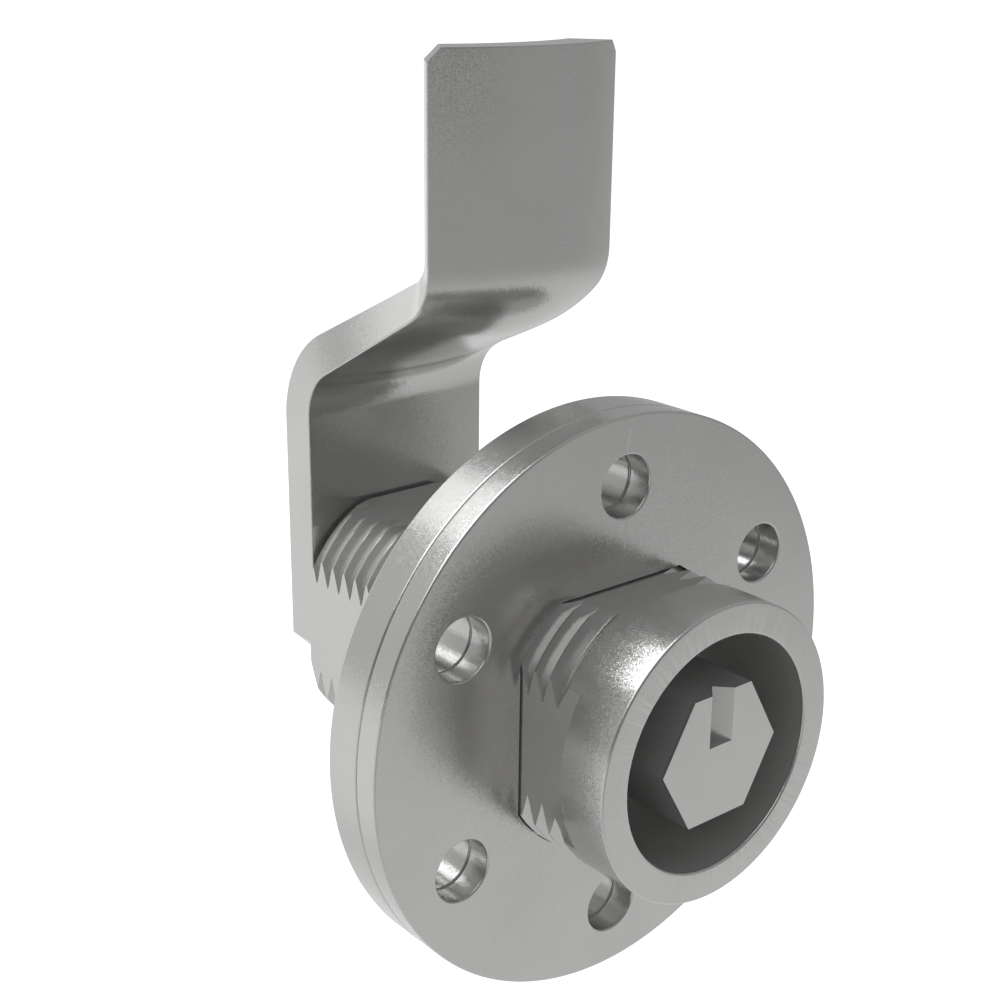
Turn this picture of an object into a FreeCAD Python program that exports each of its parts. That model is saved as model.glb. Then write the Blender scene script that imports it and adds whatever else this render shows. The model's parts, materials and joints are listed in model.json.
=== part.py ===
import FreeCAD, Part

import math
import os

from FreeCAD import Rotation, Vector

# Compression latch with an outside hexagon drive, closed and drawn tight.
# Millimetres. The latch axis is Y: the head looks towards -Y, the cam is behind and points to +Z.
# The origin is on the axis, in the rear face of the mounting flange.

# Clearances
running_clearance = 0.05
axial_play = 0.05
press_clearance = 0.01
keying_clearance = 0.1
thread_clearance = 0.05
seal_clearance = 0.03
free_clearance = 0.3

# How far a cutting shape reaches past what it cuts
overshoot = 1.0

# Mounting flange, two discs bolted through the same holes
flange_diameter = 59.5
keyed_plate_thickness = 2.8
threaded_flange_thickness = 4.3
flange_edge_chamfer = 0.15
flange_lead_in = 0.8
mounting_hole_count = 6
mounting_hole_circle = 45.5
mounting_hole_diameter = 6.2
first_hole_angle = 30.0

# Housing
head_projection = 13.7
plain_head_length = 5.6
flat_run_out_length = 1.1
recess_diameter = 23.7
recess_depth = 14.0
rim_wall = 3.15
flat_wall = 0.9
head_edge_chamfer = 0.1
recess_edge_chamfer = 0.15
rear_end_chamfer = 1.5
web_thickness = 4.0
retaining_lip = 1.1

# Spindle with the hexagon post
hexagon_across_flats = 13.0
journal_step = 0.5
pointer_groove_width = 3.0
pointer_groove_end_height = 1.1
front_washer_thickness = 0.5
collar_thickness = 2.0
tube_wall = 1.95
slot_land = 1.5
seal_section = 1.5
seal_groove_width = 2.0

# Draw rod and the pin that couples it to the spindle
rod_diameter = 10.0
rod_nose = 3.0
pin_diameter = 3.0
rod_travel = 6.0
travel_turn = 90.0
rod_square = 8.0
rod_edge_chamfer = 0.5
rod_end_gap = 0.5
pin_end_clearance = 0.4

# Rotor sleeve, which swings with the cam
sleeve_wall = 2.9
rod_bearing_length = 6.1
rear_washer_thickness = 0.8
rotor_washer_thickness = 0.7
swing_angle = 90.0
stop_pin_diameter = 2.5
stop_groove_depth = 1.6
stop_pin_recess = 0.15
stop_pin_end_clearance = 0.1

# Wave washer that holds the rotor by friction
wave_strip_thickness = 0.3
wave_rise = 0.4
wave_washer_width = 2.6

# End bush and the ring that keeps it in
bush_thickness = 3.4
bush_shoulder = 1.0
bush_rod_gap = 0.3
ring_thickness = 1.0
ring_groove_depth = 0.55
ring_width = 1.6
ring_gap_angle = 40.0
ring_lug_diameter = 3.0
ring_lug_hole_diameter = 1.2
bush_seal_section = 1.1
bush_seal_groove_width = 1.5

# Cam
cam_gap = 0.65
cam_thickness = 4.5
cam_width = 23.5
cam_bottom_depth = 9.5
cam_bottom_chamfer = 6.5
lower_bend_height = 23.2
lower_bend_radius = 6.0
upper_bend_radius = 1.8
bend_angle = 60.5
tongue_offset = 20.8
tongue_top_height = 62.5
tongue_arch_radius = 23.4
arch_growth_angle = 82.0
arch_side_lean = 1.14
tongue_corner_cut = 1.35
square_clearance = 0.05

# Cam screw and its washers
screw_diameter = 6.0
screw_length = 13.0
screw_hole_depth = 14.0
screw_head_across_flats = 10.0
screw_head_height = 4.0
screw_head_crown = 0.8
plain_washer_diameter = 16.0
plain_washer_thickness = 1.6
lock_washer_diameter = 11.0
lock_washer_thickness = 1.6
lock_washer_gap = 1.2
screw_fit_clearance = 0.2
tenon_shortfall = 0.3


def corner_radius(sides, across_flats):
    return across_flats / 2.0 / math.cos(math.pi / sides)


# Radii that follow from the sizes above, from the axis outwards
rod_radius = rod_diameter / 2.0
pin_radius = pin_diameter / 2.0
tube_bore = rod_radius + running_clearance
tube_radius = tube_bore + tube_wall
sleeve_bore = tube_radius + running_clearance
sleeve_radius = sleeve_bore + sleeve_wall
chamber_radius = sleeve_radius + running_clearance
bush_radius = chamber_radius + bush_shoulder
collar_radius = chamber_radius - free_clearance
recess_radius = recess_diameter / 2.0
thread_radius = recess_radius + rim_wall
flat_distance = recess_radius + flat_wall
flange_radius = flange_diameter / 2.0
journal_radius = corner_radius(6, hexagon_across_flats) + journal_step
web_bore = journal_radius + running_clearance

# Places along the axis that follow from the sizes above, from front to rear
plate_front_y = -(keyed_plate_thickness + threaded_flange_thickness)
plate_rear_y = -threaded_flange_thickness
head_front_y = plate_front_y - head_projection
flat_front_y = head_front_y + plain_head_length
recess_floor_y = head_front_y + recess_depth
web_rear_y = recess_floor_y + web_thickness
front_washer_y = web_rear_y + axial_play
collar_front_y = front_washer_y + front_washer_thickness
collar_rear_y = collar_front_y + collar_thickness
pin_rest_y = collar_rear_y + slot_land + pin_diameter
tube_rear_y = pin_rest_y + rod_travel + pin_diameter + slot_land
sleeve_front_y = collar_rear_y + axial_play
rear_washer_y = tube_rear_y + axial_play
sleeve_step_y = rear_washer_y + rear_washer_thickness
sleeve_rear_y = sleeve_step_y + rod_bearing_length
rotor_washer_y = sleeve_rear_y + axial_play
wave_washer_y = rotor_washer_y + rotor_washer_thickness
wave_height = wave_strip_thickness + wave_rise
bush_front_y = wave_washer_y + wave_height
bush_rear_y = bush_front_y + bush_thickness
ring_rear_y = bush_rear_y + ring_thickness
housing_rear_y = ring_rear_y + retaining_lip
stop_pin_y = (sleeve_step_y + sleeve_rear_y) / 2.0
rod_front_y = pin_rest_y - rod_nose
cam_front_y = housing_rear_y + cam_gap
cam_rear_y = cam_front_y + cam_thickness
tenon_rear_y = cam_rear_y - tenon_shortfall
lock_washer_y = cam_rear_y + plain_washer_thickness
screw_head_y = lock_washer_y + lock_washer_thickness

axis = Vector(0, 1, 0)
centre = Vector(0, 0, 0)
parts = {}


def cylinder(radius, start, end):
    """Cylinder on the latch axis between two places along it."""
    return Part.makeCylinder(radius, end - start, Vector(0, start, 0), axis)


def ring(outer, inner, start, end):
    return cylinder(outer, start, end).cut(cylinder(inner, start - overshoot, end + overshoot))


def turned(outline):
    """Solid turned about the latch axis from (radius, place) corners."""
    corners = [Vector(radius, place, 0) for radius, place in outline]
    face = Part.Face(Part.makePolygon(corners + corners[:1]))
    return face.revolve(centre, axis, 360)


def radial_cylinder(radius, inner, outer, direction, place):
    """Cylinder that stands across the axis, from one radius to another."""
    base = Vector(0, place, 0) + direction * inner
    return Part.makeCylinder(radius, outer - inner, base, direction)


def bar(sides, across_flats, start, end, turn=0.0):
    """Straight bar with a regular section, centred on the axis."""
    radius = corner_radius(sides, across_flats)
    corners = []
    for index in range(sides):
        angle = math.radians(turn + 360.0 * index / sides)
        corners.append(Vector(radius * math.cos(angle), start, radius * math.sin(angle)))
    face = Part.Face(Part.makePolygon(corners + corners[:1]))
    return face.extrude(Vector(0, end - start, 0))


def square_bar(across_flats, start, end):
    return bar(4, across_flats, start, end, turn=45.0)


def hexagon_bar(across_flats, start, end):
    return bar(6, across_flats, start, end)


def chamfered_disc(radius, start, end, chamfer):
    return turned([
        (0, start),
        (radius - chamfer, start),
        (radius, start + chamfer),
        (radius, end - chamfer),
        (radius - chamfer, end),
        (0, end),
    ])


def seal_ring(middle_radius, section_radius, place):
    """O-ring squeezed in its groove, with an eight-sided section as high and wide as it is."""
    sides = 8
    reach = corner_radius(sides, 2.0 * section_radius)
    outline = []
    for index in range(sides):
        angle = 2.0 * math.pi * (index + 0.5) / sides
        outline.append((middle_radius + reach * math.cos(angle), place + reach * math.sin(angle)))
    return turned(outline)


def mounting_holes(start, end):
    """Hole cutters on the bolt circle, through one disc."""
    cutters = []
    for index in range(mounting_hole_count):
        angle = math.radians(first_hole_angle + 360.0 * index / mounting_hole_count)
        x = mounting_hole_circle / 2.0 * math.cos(angle)
        z = mounting_hole_circle / 2.0 * math.sin(angle)
        hole = cylinder(mounting_hole_diameter / 2.0, start - overshoot, end + overshoot)
        hole.translate(Vector(x, 0, z))
        cutters.append(hole)
    return cutters


def cut_all(shape, cutters):
    for cutter in cutters:
        shape = shape.cut(cutter)
    return shape


# Housing: plain round head, then a threaded length with four milled flats.
# The thread is drawn at its outside diameter. The flats run out on a cone behind the head.


def make_housing():
    head = turned([
        (0, head_front_y),
        (thread_radius - head_edge_chamfer, head_front_y),
        (thread_radius, head_front_y + head_edge_chamfer),
        (thread_radius, flat_front_y),
        (flat_distance, flat_front_y + flat_run_out_length),
        (0, flat_front_y + flat_run_out_length),
    ])
    threaded = turned([
        (0, flat_front_y),
        (thread_radius, flat_front_y),
        (thread_radius, housing_rear_y - rear_end_chamfer),
        (thread_radius - rear_end_chamfer, housing_rear_y),
        (0, housing_rear_y),
    ])
    flats = square_bar(2.0 * flat_distance, flat_front_y, housing_rear_y)
    body = head.fuse(threaded.common(flats))
    recess = turned([
        (0, head_front_y - overshoot),
        (recess_radius + recess_edge_chamfer + overshoot, head_front_y - overshoot),
        (recess_radius, head_front_y + recess_edge_chamfer),
        (recess_radius, recess_floor_y),
        (0, recess_floor_y),
    ])
    groove_radius = bush_radius + ring_groove_depth
    body = cut_all(body, [
        recess,
        cylinder(web_bore, recess_floor_y - overshoot, web_rear_y + overshoot),
        cylinder(chamber_radius, web_rear_y, housing_rear_y + overshoot),
        cylinder(bush_radius, bush_front_y, housing_rear_y + overshoot),
        cylinder(groove_radius, bush_rear_y, ring_rear_y),
        radial_cylinder(
            stop_pin_diameter / 2.0 + press_clearance,
            sleeve_bore,
            thread_radius + overshoot,
            Vector(0, 0, -1),
            stop_pin_y,
        ),
    ])
    return body.removeSplitter()


def make_keyed_plate():
    """Front disc. Its hole has the four flats of the housing, so the housing can't turn in it."""
    plate = chamfered_disc(flange_radius, plate_front_y, plate_rear_y, flange_edge_chamfer)
    hole_front = plate_front_y - overshoot
    hole_rear = plate_rear_y + overshoot
    round_hole = cylinder(thread_radius + keying_clearance, hole_front, hole_rear)
    hole = round_hole.common(square_bar(2.0 * (flat_distance + keying_clearance), hole_front, hole_rear))
    return cut_all(plate, [hole] + mounting_holes(plate_front_y, plate_rear_y))


def make_threaded_flange():
    """Rear disc, screwed on the housing to set how far the head stands out."""
    disc = chamfered_disc(flange_radius, plate_rear_y, 0.0, flange_edge_chamfer)
    bore_radius = thread_radius + thread_clearance
    bore = cylinder(bore_radius, plate_rear_y - overshoot, overshoot)
    lead_in = Part.makeCone(bore_radius + flange_lead_in, bore_radius, flange_lead_in, centre, axis * -1.0)
    return cut_all(disc, [bore, lead_in] + mounting_holes(plate_rear_y, 0.0))


parts["housing"] = make_housing()
parts["keyed_plate"] = make_keyed_plate()
parts["threaded_flange"] = make_threaded_flange()


# Spindle: hexagon post, sealed journal, collar, and a tube with two helical slots.
# A quarter turn of the spindle drives the cross pin along the slots by the rod's travel.


def helical_slot(start_angle):
    """The space that the cross pin sweeps in the tube wall, with round ends."""
    half_width = pin_radius + running_clearance
    end_radius = half_width + running_clearance
    inner = tube_bore - overshoot
    outer = tube_radius + overshoot
    middle = (tube_bore + tube_radius) / 2.0
    lead = rod_travel * 360.0 / travel_turn
    helix = Part.makeHelix(lead, rod_travel, middle)
    lead_angle = math.atan(lead / (2.0 * math.pi * middle))
    across = Vector(0, -math.sin(lead_angle), math.cos(lead_angle)) * half_width
    section = Part.makePolygon([
        Vector(inner, 0, 0) - across,
        Vector(outer, 0, 0) - across,
        Vector(outer, 0, 0) + across,
        Vector(inner, 0, 0) + across,
        Vector(inner, 0, 0) - across,
    ])
    slot = Part.Wire(helix.Edges).makePipeShell([section], True, True)
    end_direction = Rotation(Vector(0, 0, 1), travel_turn).multVec(Vector(1, 0, 0))
    ends = [
        Part.makeCylinder(end_radius, outer - inner, Vector(inner, 0, 0), Vector(1, 0, 0)),
        Part.makeCylinder(
            end_radius,
            outer - inner,
            end_direction * inner + Vector(0, 0, rod_travel),
            end_direction,
        ),
    ]
    cutters = [slot] + ends
    for cutter in cutters:
        cutter.rotate(centre, Vector(0, 0, 1), start_angle)
        cutter.rotate(centre, Vector(1, 0, 0), -90)
        cutter.translate(Vector(0, pin_rest_y, 0))
    return cutters


def pointer_groove():
    """Square-cornered V across the post's face, from near its centre out past the top flat."""
    half = pointer_groove_width / 2.0
    corners = [
        Vector(-half - overshoot, head_front_y - overshoot, pointer_groove_end_height),
        Vector(half + overshoot, head_front_y - overshoot, pointer_groove_end_height),
        Vector(0, head_front_y + half, pointer_groove_end_height),
    ]
    section = Part.Face(Part.makePolygon(corners + corners[:1]))
    return section.extrude(Vector(0, 0, hexagon_across_flats))


def make_spindle():
    post = hexagon_bar(hexagon_across_flats, head_front_y, recess_floor_y)
    groove_floor = journal_radius - seal_section
    groove_centre = (recess_floor_y + web_rear_y) / 2.0
    groove_front = groove_centre - seal_groove_width / 2.0
    groove_rear = groove_centre + seal_groove_width / 2.0
    turned_body = turned([
        (0, recess_floor_y),
        (journal_radius, recess_floor_y),
        (journal_radius, groove_front),
        (groove_floor, groove_front),
        (groove_floor, groove_rear),
        (journal_radius, groove_rear),
        (journal_radius, collar_front_y),
        (collar_radius, collar_front_y),
        (collar_radius, collar_rear_y),
        (tube_radius, collar_rear_y),
        (tube_radius, tube_rear_y),
        (tube_bore, tube_rear_y),
        (tube_bore, rod_front_y - rod_end_gap),
        (0, rod_front_y - rod_end_gap),
    ])
    spindle = post.fuse(turned_body)
    cutters = helical_slot(0.0) + helical_slot(180.0)
    return cut_all(spindle, cutters + [pointer_groove()]).removeSplitter()


def make_spindle_seal():
    section = seal_section / 2.0
    centre_radius = journal_radius - section + seal_clearance / 2.0
    return seal_ring(centre_radius, section - seal_clearance / 2.0, (recess_floor_y + web_rear_y) / 2.0)


parts["spindle"] = make_spindle()
parts["spindle_seal"] = make_spindle_seal()
parts["spindle_front_washer"] = ring(
    collar_radius,
    journal_radius + running_clearance,
    front_washer_y,
    collar_front_y,
)


# Rotor sleeve: carries the draw rod and turns with it. The pin runs in its two straight slots.


def stop_groove():
    """Groove over the swing angle, with round ends, for the stop pin in the housing."""
    half_width = stop_pin_diameter / 2.0 + running_clearance
    floor = sleeve_radius - stop_groove_depth
    outside = sleeve_radius + overshoot
    down = Vector(0, 0, -1)
    corners = [
        Vector(0, stop_pin_y - half_width, -floor),
        Vector(0, stop_pin_y - half_width, -outside),
        Vector(0, stop_pin_y + half_width, -outside),
        Vector(0, stop_pin_y + half_width, -floor),
    ]
    section = Part.Face(Part.makePolygon(corners + corners[:1]))
    sweep = section.revolve(centre, axis, swing_angle)
    far_end = Rotation(axis, swing_angle).multVec(down)
    return [
        sweep,
        radial_cylinder(half_width, floor, outside, down, stop_pin_y),
        radial_cylinder(half_width, floor, outside, far_end, stop_pin_y),
    ]


def straight_slot():
    half_width = pin_radius + running_clearance
    reach = sleeve_radius + overshoot
    pin_end_y = pin_rest_y + rod_travel
    sides = Part.makeBox(
        2.0 * reach,
        rod_travel,
        2.0 * half_width,
        Vector(-reach, pin_rest_y, -half_width),
    )
    ends = [
        Part.makeCylinder(half_width, 2.0 * reach, Vector(-reach, place, 0), Vector(1, 0, 0))
        for place in (pin_rest_y, pin_end_y)
    ]
    return sides.multiFuse(ends).removeSplitter()


def make_rotor_sleeve():
    sleeve = turned([
        (sleeve_bore, sleeve_front_y),
        (sleeve_radius, sleeve_front_y),
        (sleeve_radius, sleeve_rear_y),
        (tube_bore, sleeve_rear_y),
        (tube_bore, sleeve_step_y),
        (sleeve_bore, sleeve_step_y),
    ])
    return cut_all(sleeve, [straight_slot()] + stop_groove())


parts["rotor_sleeve"] = make_rotor_sleeve()
parts["spindle_rear_washer"] = ring(
    tube_radius,
    tube_bore + running_clearance,
    rear_washer_y,
    sleeve_step_y,
)
parts["rotor_stop_pin"] = radial_cylinder(
    stop_pin_diameter / 2.0,
    sleeve_radius - stop_groove_depth + stop_pin_end_clearance,
    flat_distance - stop_pin_recess,
    Vector(0, 0, -1),
    stop_pin_y,
)
parts["rotor_thrust_washer"] = ring(
    collar_radius,
    tube_bore + free_clearance,
    rotor_washer_y,
    wave_washer_y,
)


# Wave washer between the rotor and the end bush: a ring bowed over one line, so that it has two
# waves and bears on the bush with its crown and on the thrust washer with its two ends.


def make_wave_washer():
    bow_radius = (collar_radius ** 2 + wave_rise ** 2) / (2.0 * wave_rise)
    length = 2.0 * (collar_radius + overshoot)
    start = Vector(-length / 2.0, wave_washer_y + wave_rise - bow_radius, 0)
    outside = Part.makeCylinder(bow_radius + wave_strip_thickness, length, start, Vector(1, 0, 0))
    inside = Part.makeCylinder(bow_radius, length, start, Vector(1, 0, 0))
    flat_ring = ring(
        collar_radius,
        collar_radius - wave_washer_width,
        wave_washer_y - overshoot,
        bush_front_y + overshoot,
    )
    return flat_ring.common(outside).cut(inside)


# End bush: closes the housing and guides the rod. It carries both rear seals.


def make_end_bush():
    outer = bush_radius - press_clearance
    inner = rod_radius + bush_rod_gap
    middle = (bush_front_y + bush_rear_y) / 2.0
    bush = ring(outer, inner, bush_front_y, bush_rear_y)
    rod_groove = ring(
        rod_radius + seal_section,
        inner - overshoot,
        middle - seal_groove_width / 2.0,
        middle + seal_groove_width / 2.0,
    )
    bush_groove = ring(
        outer + overshoot,
        outer - bush_seal_section,
        middle - bush_seal_groove_width / 2.0,
        middle + bush_seal_groove_width / 2.0,
    )
    return cut_all(bush, [rod_groove, bush_groove])


def make_end_retaining_ring():
    """Internal retaining ring with two lugs, open at the bottom."""
    outer = bush_radius + ring_groove_depth - press_clearance
    lug_centre = outer - ring_width - ring_lug_diameter / 4.0
    body = ring(outer, outer - ring_width, bush_rear_y, ring_rear_y)
    below = Vector(0, 0, -2.0 * outer)
    corners = [
        centre,
        Rotation(axis, ring_gap_angle / 2.0).multVec(below),
        Rotation(axis, -ring_gap_angle / 2.0).multVec(below),
    ]
    gap = Part.Face(Part.makePolygon(corners + corners[:1]))
    gap.translate(axis * (bush_rear_y - overshoot))
    body = body.cut(gap.extrude(axis * (ring_thickness + 2.0 * overshoot)))
    lug_turn = ring_gap_angle / 2.0 + math.degrees(ring_lug_diameter / 2.0 / lug_centre)
    holes = []
    for side in (1.0, -1.0):
        spot = Rotation(axis, side * lug_turn).multVec(Vector(0, 0, -lug_centre))
        spot = spot + Vector(0, bush_rear_y, 0)
        body = body.fuse(Part.makeCylinder(ring_lug_diameter / 2.0, ring_thickness, spot, axis))
        holes.append(Part.makeCylinder(ring_lug_hole_diameter / 2.0, ring_thickness, spot, axis))
    return cut_all(body, holes).removeSplitter()


def make_rod_seal():
    inner = rod_radius + seal_clearance
    section = (seal_section - 2.0 * seal_clearance) / 2.0
    return seal_ring(inner + section, section, (bush_front_y + bush_rear_y) / 2.0)


def make_bush_seal():
    outer = bush_radius - press_clearance
    section = (bush_seal_section - 2.0 * press_clearance) / 2.0
    return seal_ring(outer - press_clearance - section, section, (bush_front_y + bush_rear_y) / 2.0)


parts["wave_washer"] = make_wave_washer()
parts["end_bush"] = make_end_bush()
parts["end_retaining_ring"] = make_end_retaining_ring()
parts["rod_seal"] = make_rod_seal()
parts["bush_seal"] = make_bush_seal()


# Draw rod: round where it runs, square where it carries the cam, drilled for the cam screw.


def make_draw_rod():
    rod = turned([
        (0, rod_front_y),
        (rod_radius - rod_edge_chamfer, rod_front_y),
        (rod_radius, rod_front_y + rod_edge_chamfer),
        (rod_radius, cam_front_y),
        (0, cam_front_y),
    ])
    tenon = cylinder(rod_radius, cam_front_y, tenon_rear_y)
    tenon = tenon.common(square_bar(rod_square, cam_front_y, tenon_rear_y))
    pin_hole = Part.makeCylinder(
        pin_radius + press_clearance,
        2.0 * sleeve_radius,
        Vector(-sleeve_radius, pin_rest_y, 0),
        Vector(1, 0, 0),
    )
    screw_hole = cylinder(
        screw_diameter / 2.0 + press_clearance,
        tenon_rear_y - screw_hole_depth,
        tenon_rear_y + overshoot,
    )
    return cut_all(rod.fuse(tenon), [pin_hole, screw_hole])


def make_cross_pin():
    length = 2.0 * (chamber_radius - pin_end_clearance)
    return Part.makeCylinder(pin_radius, length, Vector(-length / 2.0, pin_rest_y, 0), Vector(1, 0, 0))


parts["draw_rod"] = make_draw_rod()
parts["cross_pin"] = make_cross_pin()


# Cam: a plate bent twice and pressed into an arch towards its tongue.
# The path is the line of the front face's side edges, in (y, z). Each section stands across it.

half_width = cam_width / 2.0
bend = math.radians(bend_angle)
outer_bend_radius = upper_bend_radius + cam_thickness
bend_offset = (lower_bend_radius + outer_bend_radius) * (1.0 - math.cos(bend))
slant_length = (tongue_offset - bend_offset) / math.sin(bend)
slant_start = lower_bend_radius * bend
slant_end = slant_start + slant_length
tongue_start = slant_end + outer_bend_radius * bend


def cam_path(distance):
    """Place and lean of the path at a distance from where the lower bend starts."""
    bend_centre_y = cam_front_y - lower_bend_radius
    if distance <= slant_start:
        lean = distance / lower_bend_radius
        y = bend_centre_y + lower_bend_radius * math.cos(lean)
        z = lower_bend_height + lower_bend_radius * math.sin(lean)
        return y, z, lean
    along = min(distance - slant_start, slant_length)
    y = bend_centre_y + lower_bend_radius * math.cos(bend) - along * math.sin(bend)
    z = lower_bend_height + lower_bend_radius * math.sin(bend) + along * math.cos(bend)
    if distance <= slant_end:
        return y, z, bend
    lean = bend - (distance - slant_end) / outer_bend_radius
    y += outer_bend_radius * (math.cos(bend) - math.cos(lean))
    z += outer_bend_radius * (math.sin(bend) - math.sin(lean))
    return y, z, lean


def arch_radius(distance):
    """The arch grows along the path as a sine does, and is full where the tongue starts."""
    full_growth = math.radians(arch_growth_angle)
    growth = math.sin(full_growth * distance / tongue_start) / math.sin(full_growth)
    return tongue_arch_radius / growth


def cam_section(distance):
    """Closed wire of the plate's section, flat at the start and fully arched at the end."""
    y, z, lean = cam_path(distance)

    def point(across, forward):
        return Vector(across, y - forward * math.cos(lean), z - forward * math.sin(lean))

    if distance == 0.0:
        corners = [
            point(-half_width, 0),
            point(half_width, 0),
            point(half_width, -cam_thickness),
            point(-half_width, -cam_thickness),
        ]
        return Part.makePolygon(corners + corners[:1])
    radius = arch_radius(distance)
    side_angle = math.asin(half_width / radius)
    side_lean = arch_side_lean * side_angle
    rise = radius * (1.0 - math.cos(side_angle))
    back_across = half_width - cam_thickness * math.sin(side_lean)
    back_forward = -cam_thickness * math.cos(side_lean)
    front_left = point(-half_width, 0)
    front_right = point(half_width, 0)
    back_right = point(back_across, back_forward)
    back_left = point(-back_across, back_forward)
    return Part.Wire([
        Part.Arc(front_left, point(0, rise), front_right).toShape(),
        Part.makeLine(front_right, back_right),
        Part.Arc(back_right, point(0, rise - cam_thickness), back_left).toShape(),
        Part.makeLine(back_left, front_left),
    ])


def cam_stretch(start, end):
    """Solid along one stretch of the path: a bend, or the slant between the bends."""
    steps = 4
    degree = 3
    sections = [cam_section(start + (end - start) * step / steps) for step in range(steps + 1)]
    return Part.makeLoft(sections, True, False, False, degree)


def cam_base():
    """Flat plate with the lower corners cut off, up to the lower bend."""
    bottom = -cam_bottom_depth
    corners = [
        (-half_width, lower_bend_height),
        (-half_width, bottom + cam_bottom_chamfer),
        (-half_width + cam_bottom_chamfer, bottom),
        (half_width - cam_bottom_chamfer, bottom),
        (half_width, bottom + cam_bottom_chamfer),
        (half_width, lower_bend_height),
    ]
    points = [Vector(x, cam_front_y, z) for x, z in corners]
    return Part.Face(Part.makePolygon(points + points[:1])).extrude(axis * cam_thickness)


def tongue_corner(side):
    """Wedge that cuts a top corner off the tongue, along the plate's own directions there."""
    side_angle = math.asin(half_width / tongue_arch_radius)
    side_lean = arch_side_lean * side_angle
    inward = Vector(-side * math.cos(side_angle), -math.sin(side_angle), 0)
    through = Vector(-side * math.sin(side_lean), math.cos(side_lean), 0)
    up = Vector(0, 0, 1)
    corner = Vector(side * half_width, cam_path(tongue_start)[0], tongue_top_height)
    corner = corner - through * cam_thickness
    long_side = tongue_corner_cut + overshoot
    points = [
        corner + inward * long_side + up * overshoot,
        corner - inward * overshoot - up * long_side,
        corner - inward * overshoot + up * overshoot,
    ]
    wedge = Part.Face(Part.makePolygon(points + points[:1]))
    return wedge.extrude(through * (3.0 * cam_thickness))


def make_cam():
    tongue_rise = tongue_top_height - cam_path(tongue_start)[1]
    tongue = Part.Face(cam_section(tongue_start)).extrude(Vector(0, 0, tongue_rise))
    plate = cam_base()
    for start, end in ((0.0, slant_start), (slant_start, slant_end), (slant_end, tongue_start)):
        plate = plate.fuse(cam_stretch(start, end))
    hole = square_bar(
        rod_square + 2.0 * square_clearance,
        cam_front_y - overshoot,
        cam_rear_y + overshoot,
    )
    return cut_all(plate.fuse(tongue), [hole, tongue_corner(1.0), tongue_corner(-1.0)])


parts["cam"] = make_cam()


# Cam screw with a plain and a split washer, drawn without its thread.


def make_cam_screw():
    shank = cylinder(screw_diameter / 2.0, screw_head_y - screw_length, screw_head_y)
    head_rear_y = screw_head_y + screw_head_height
    head_radius = corner_radius(6, screw_head_across_flats)
    crown = turned([
        (0, screw_head_y),
        (head_radius, screw_head_y),
        (head_radius, head_rear_y - screw_head_crown),
        (screw_head_across_flats / 2.0, head_rear_y),
        (0, head_rear_y),
    ])
    head = hexagon_bar(screw_head_across_flats, screw_head_y, head_rear_y).common(crown)
    return shank.fuse(head)


def make_cam_lock_washer():
    bore = screw_diameter / 2.0 + screw_fit_clearance
    washer = ring(lock_washer_diameter / 2.0, bore, lock_washer_y, screw_head_y)
    split = Part.makeBox(
        lock_washer_gap,
        lock_washer_thickness + 2.0 * overshoot,
        lock_washer_diameter,
        Vector(-lock_washer_gap / 2.0, lock_washer_y - overshoot, -lock_washer_diameter),
    )
    return washer.cut(split)


parts["cam_screw"] = make_cam_screw()
parts["cam_washer"] = ring(
    plain_washer_diameter / 2.0,
    screw_diameter / 2.0 + screw_fit_clearance,
    cam_rear_y,
    lock_washer_y,
)
parts["cam_lock_washer"] = make_cam_lock_washer()


os.makedirs("parts", exist_ok=True)
for name, shape in parts.items():
    solids = shape.Solids
    print(name, len(solids), shape.isValid(), round(shape.Volume, 2))
    shape = solids[0] if len(solids) == 1 else Part.makeCompound(solids)
    shape.exportStep("parts/" + name + ".step")
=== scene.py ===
import json
import math

import bmesh
import bpy
from mathutils import Matrix, Vector


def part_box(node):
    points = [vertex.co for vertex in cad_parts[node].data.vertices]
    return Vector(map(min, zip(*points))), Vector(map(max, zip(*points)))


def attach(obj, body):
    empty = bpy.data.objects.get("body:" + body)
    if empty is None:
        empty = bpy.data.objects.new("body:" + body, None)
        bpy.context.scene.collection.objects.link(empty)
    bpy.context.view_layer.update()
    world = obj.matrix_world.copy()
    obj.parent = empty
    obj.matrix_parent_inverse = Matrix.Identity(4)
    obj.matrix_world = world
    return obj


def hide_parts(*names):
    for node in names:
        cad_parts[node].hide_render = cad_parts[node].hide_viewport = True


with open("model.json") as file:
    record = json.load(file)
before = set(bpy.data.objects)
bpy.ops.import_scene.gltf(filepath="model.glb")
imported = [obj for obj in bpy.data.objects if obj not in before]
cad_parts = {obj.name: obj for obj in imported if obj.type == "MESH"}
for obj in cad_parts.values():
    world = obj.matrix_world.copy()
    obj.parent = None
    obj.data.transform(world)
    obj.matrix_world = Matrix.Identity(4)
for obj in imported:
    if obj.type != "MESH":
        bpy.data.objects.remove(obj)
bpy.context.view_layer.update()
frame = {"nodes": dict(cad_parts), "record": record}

# Looks of a stainless steel compression latch, in metres, in the frame of its solids.
# The latch axis is Y, with the head towards -Y and the closed cam pointing to +Z.

MM = 0.001
nodes = frame["nodes"]

# Camera, as fitted to the photograph
camera_azimuth = math.radians(-40.03)
camera_elevation = math.radians(19.145)
camera_roll = math.radians(0.654)
camera_distance = 145.8 * MM
camera_target = Vector((-15.63, -7.1, 24.78)) * MM
camera_lens = 59.29
sensor_width = 36.0
camera_clip_start = 1.0 * MM
camera_clip_end = 20.0

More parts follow.
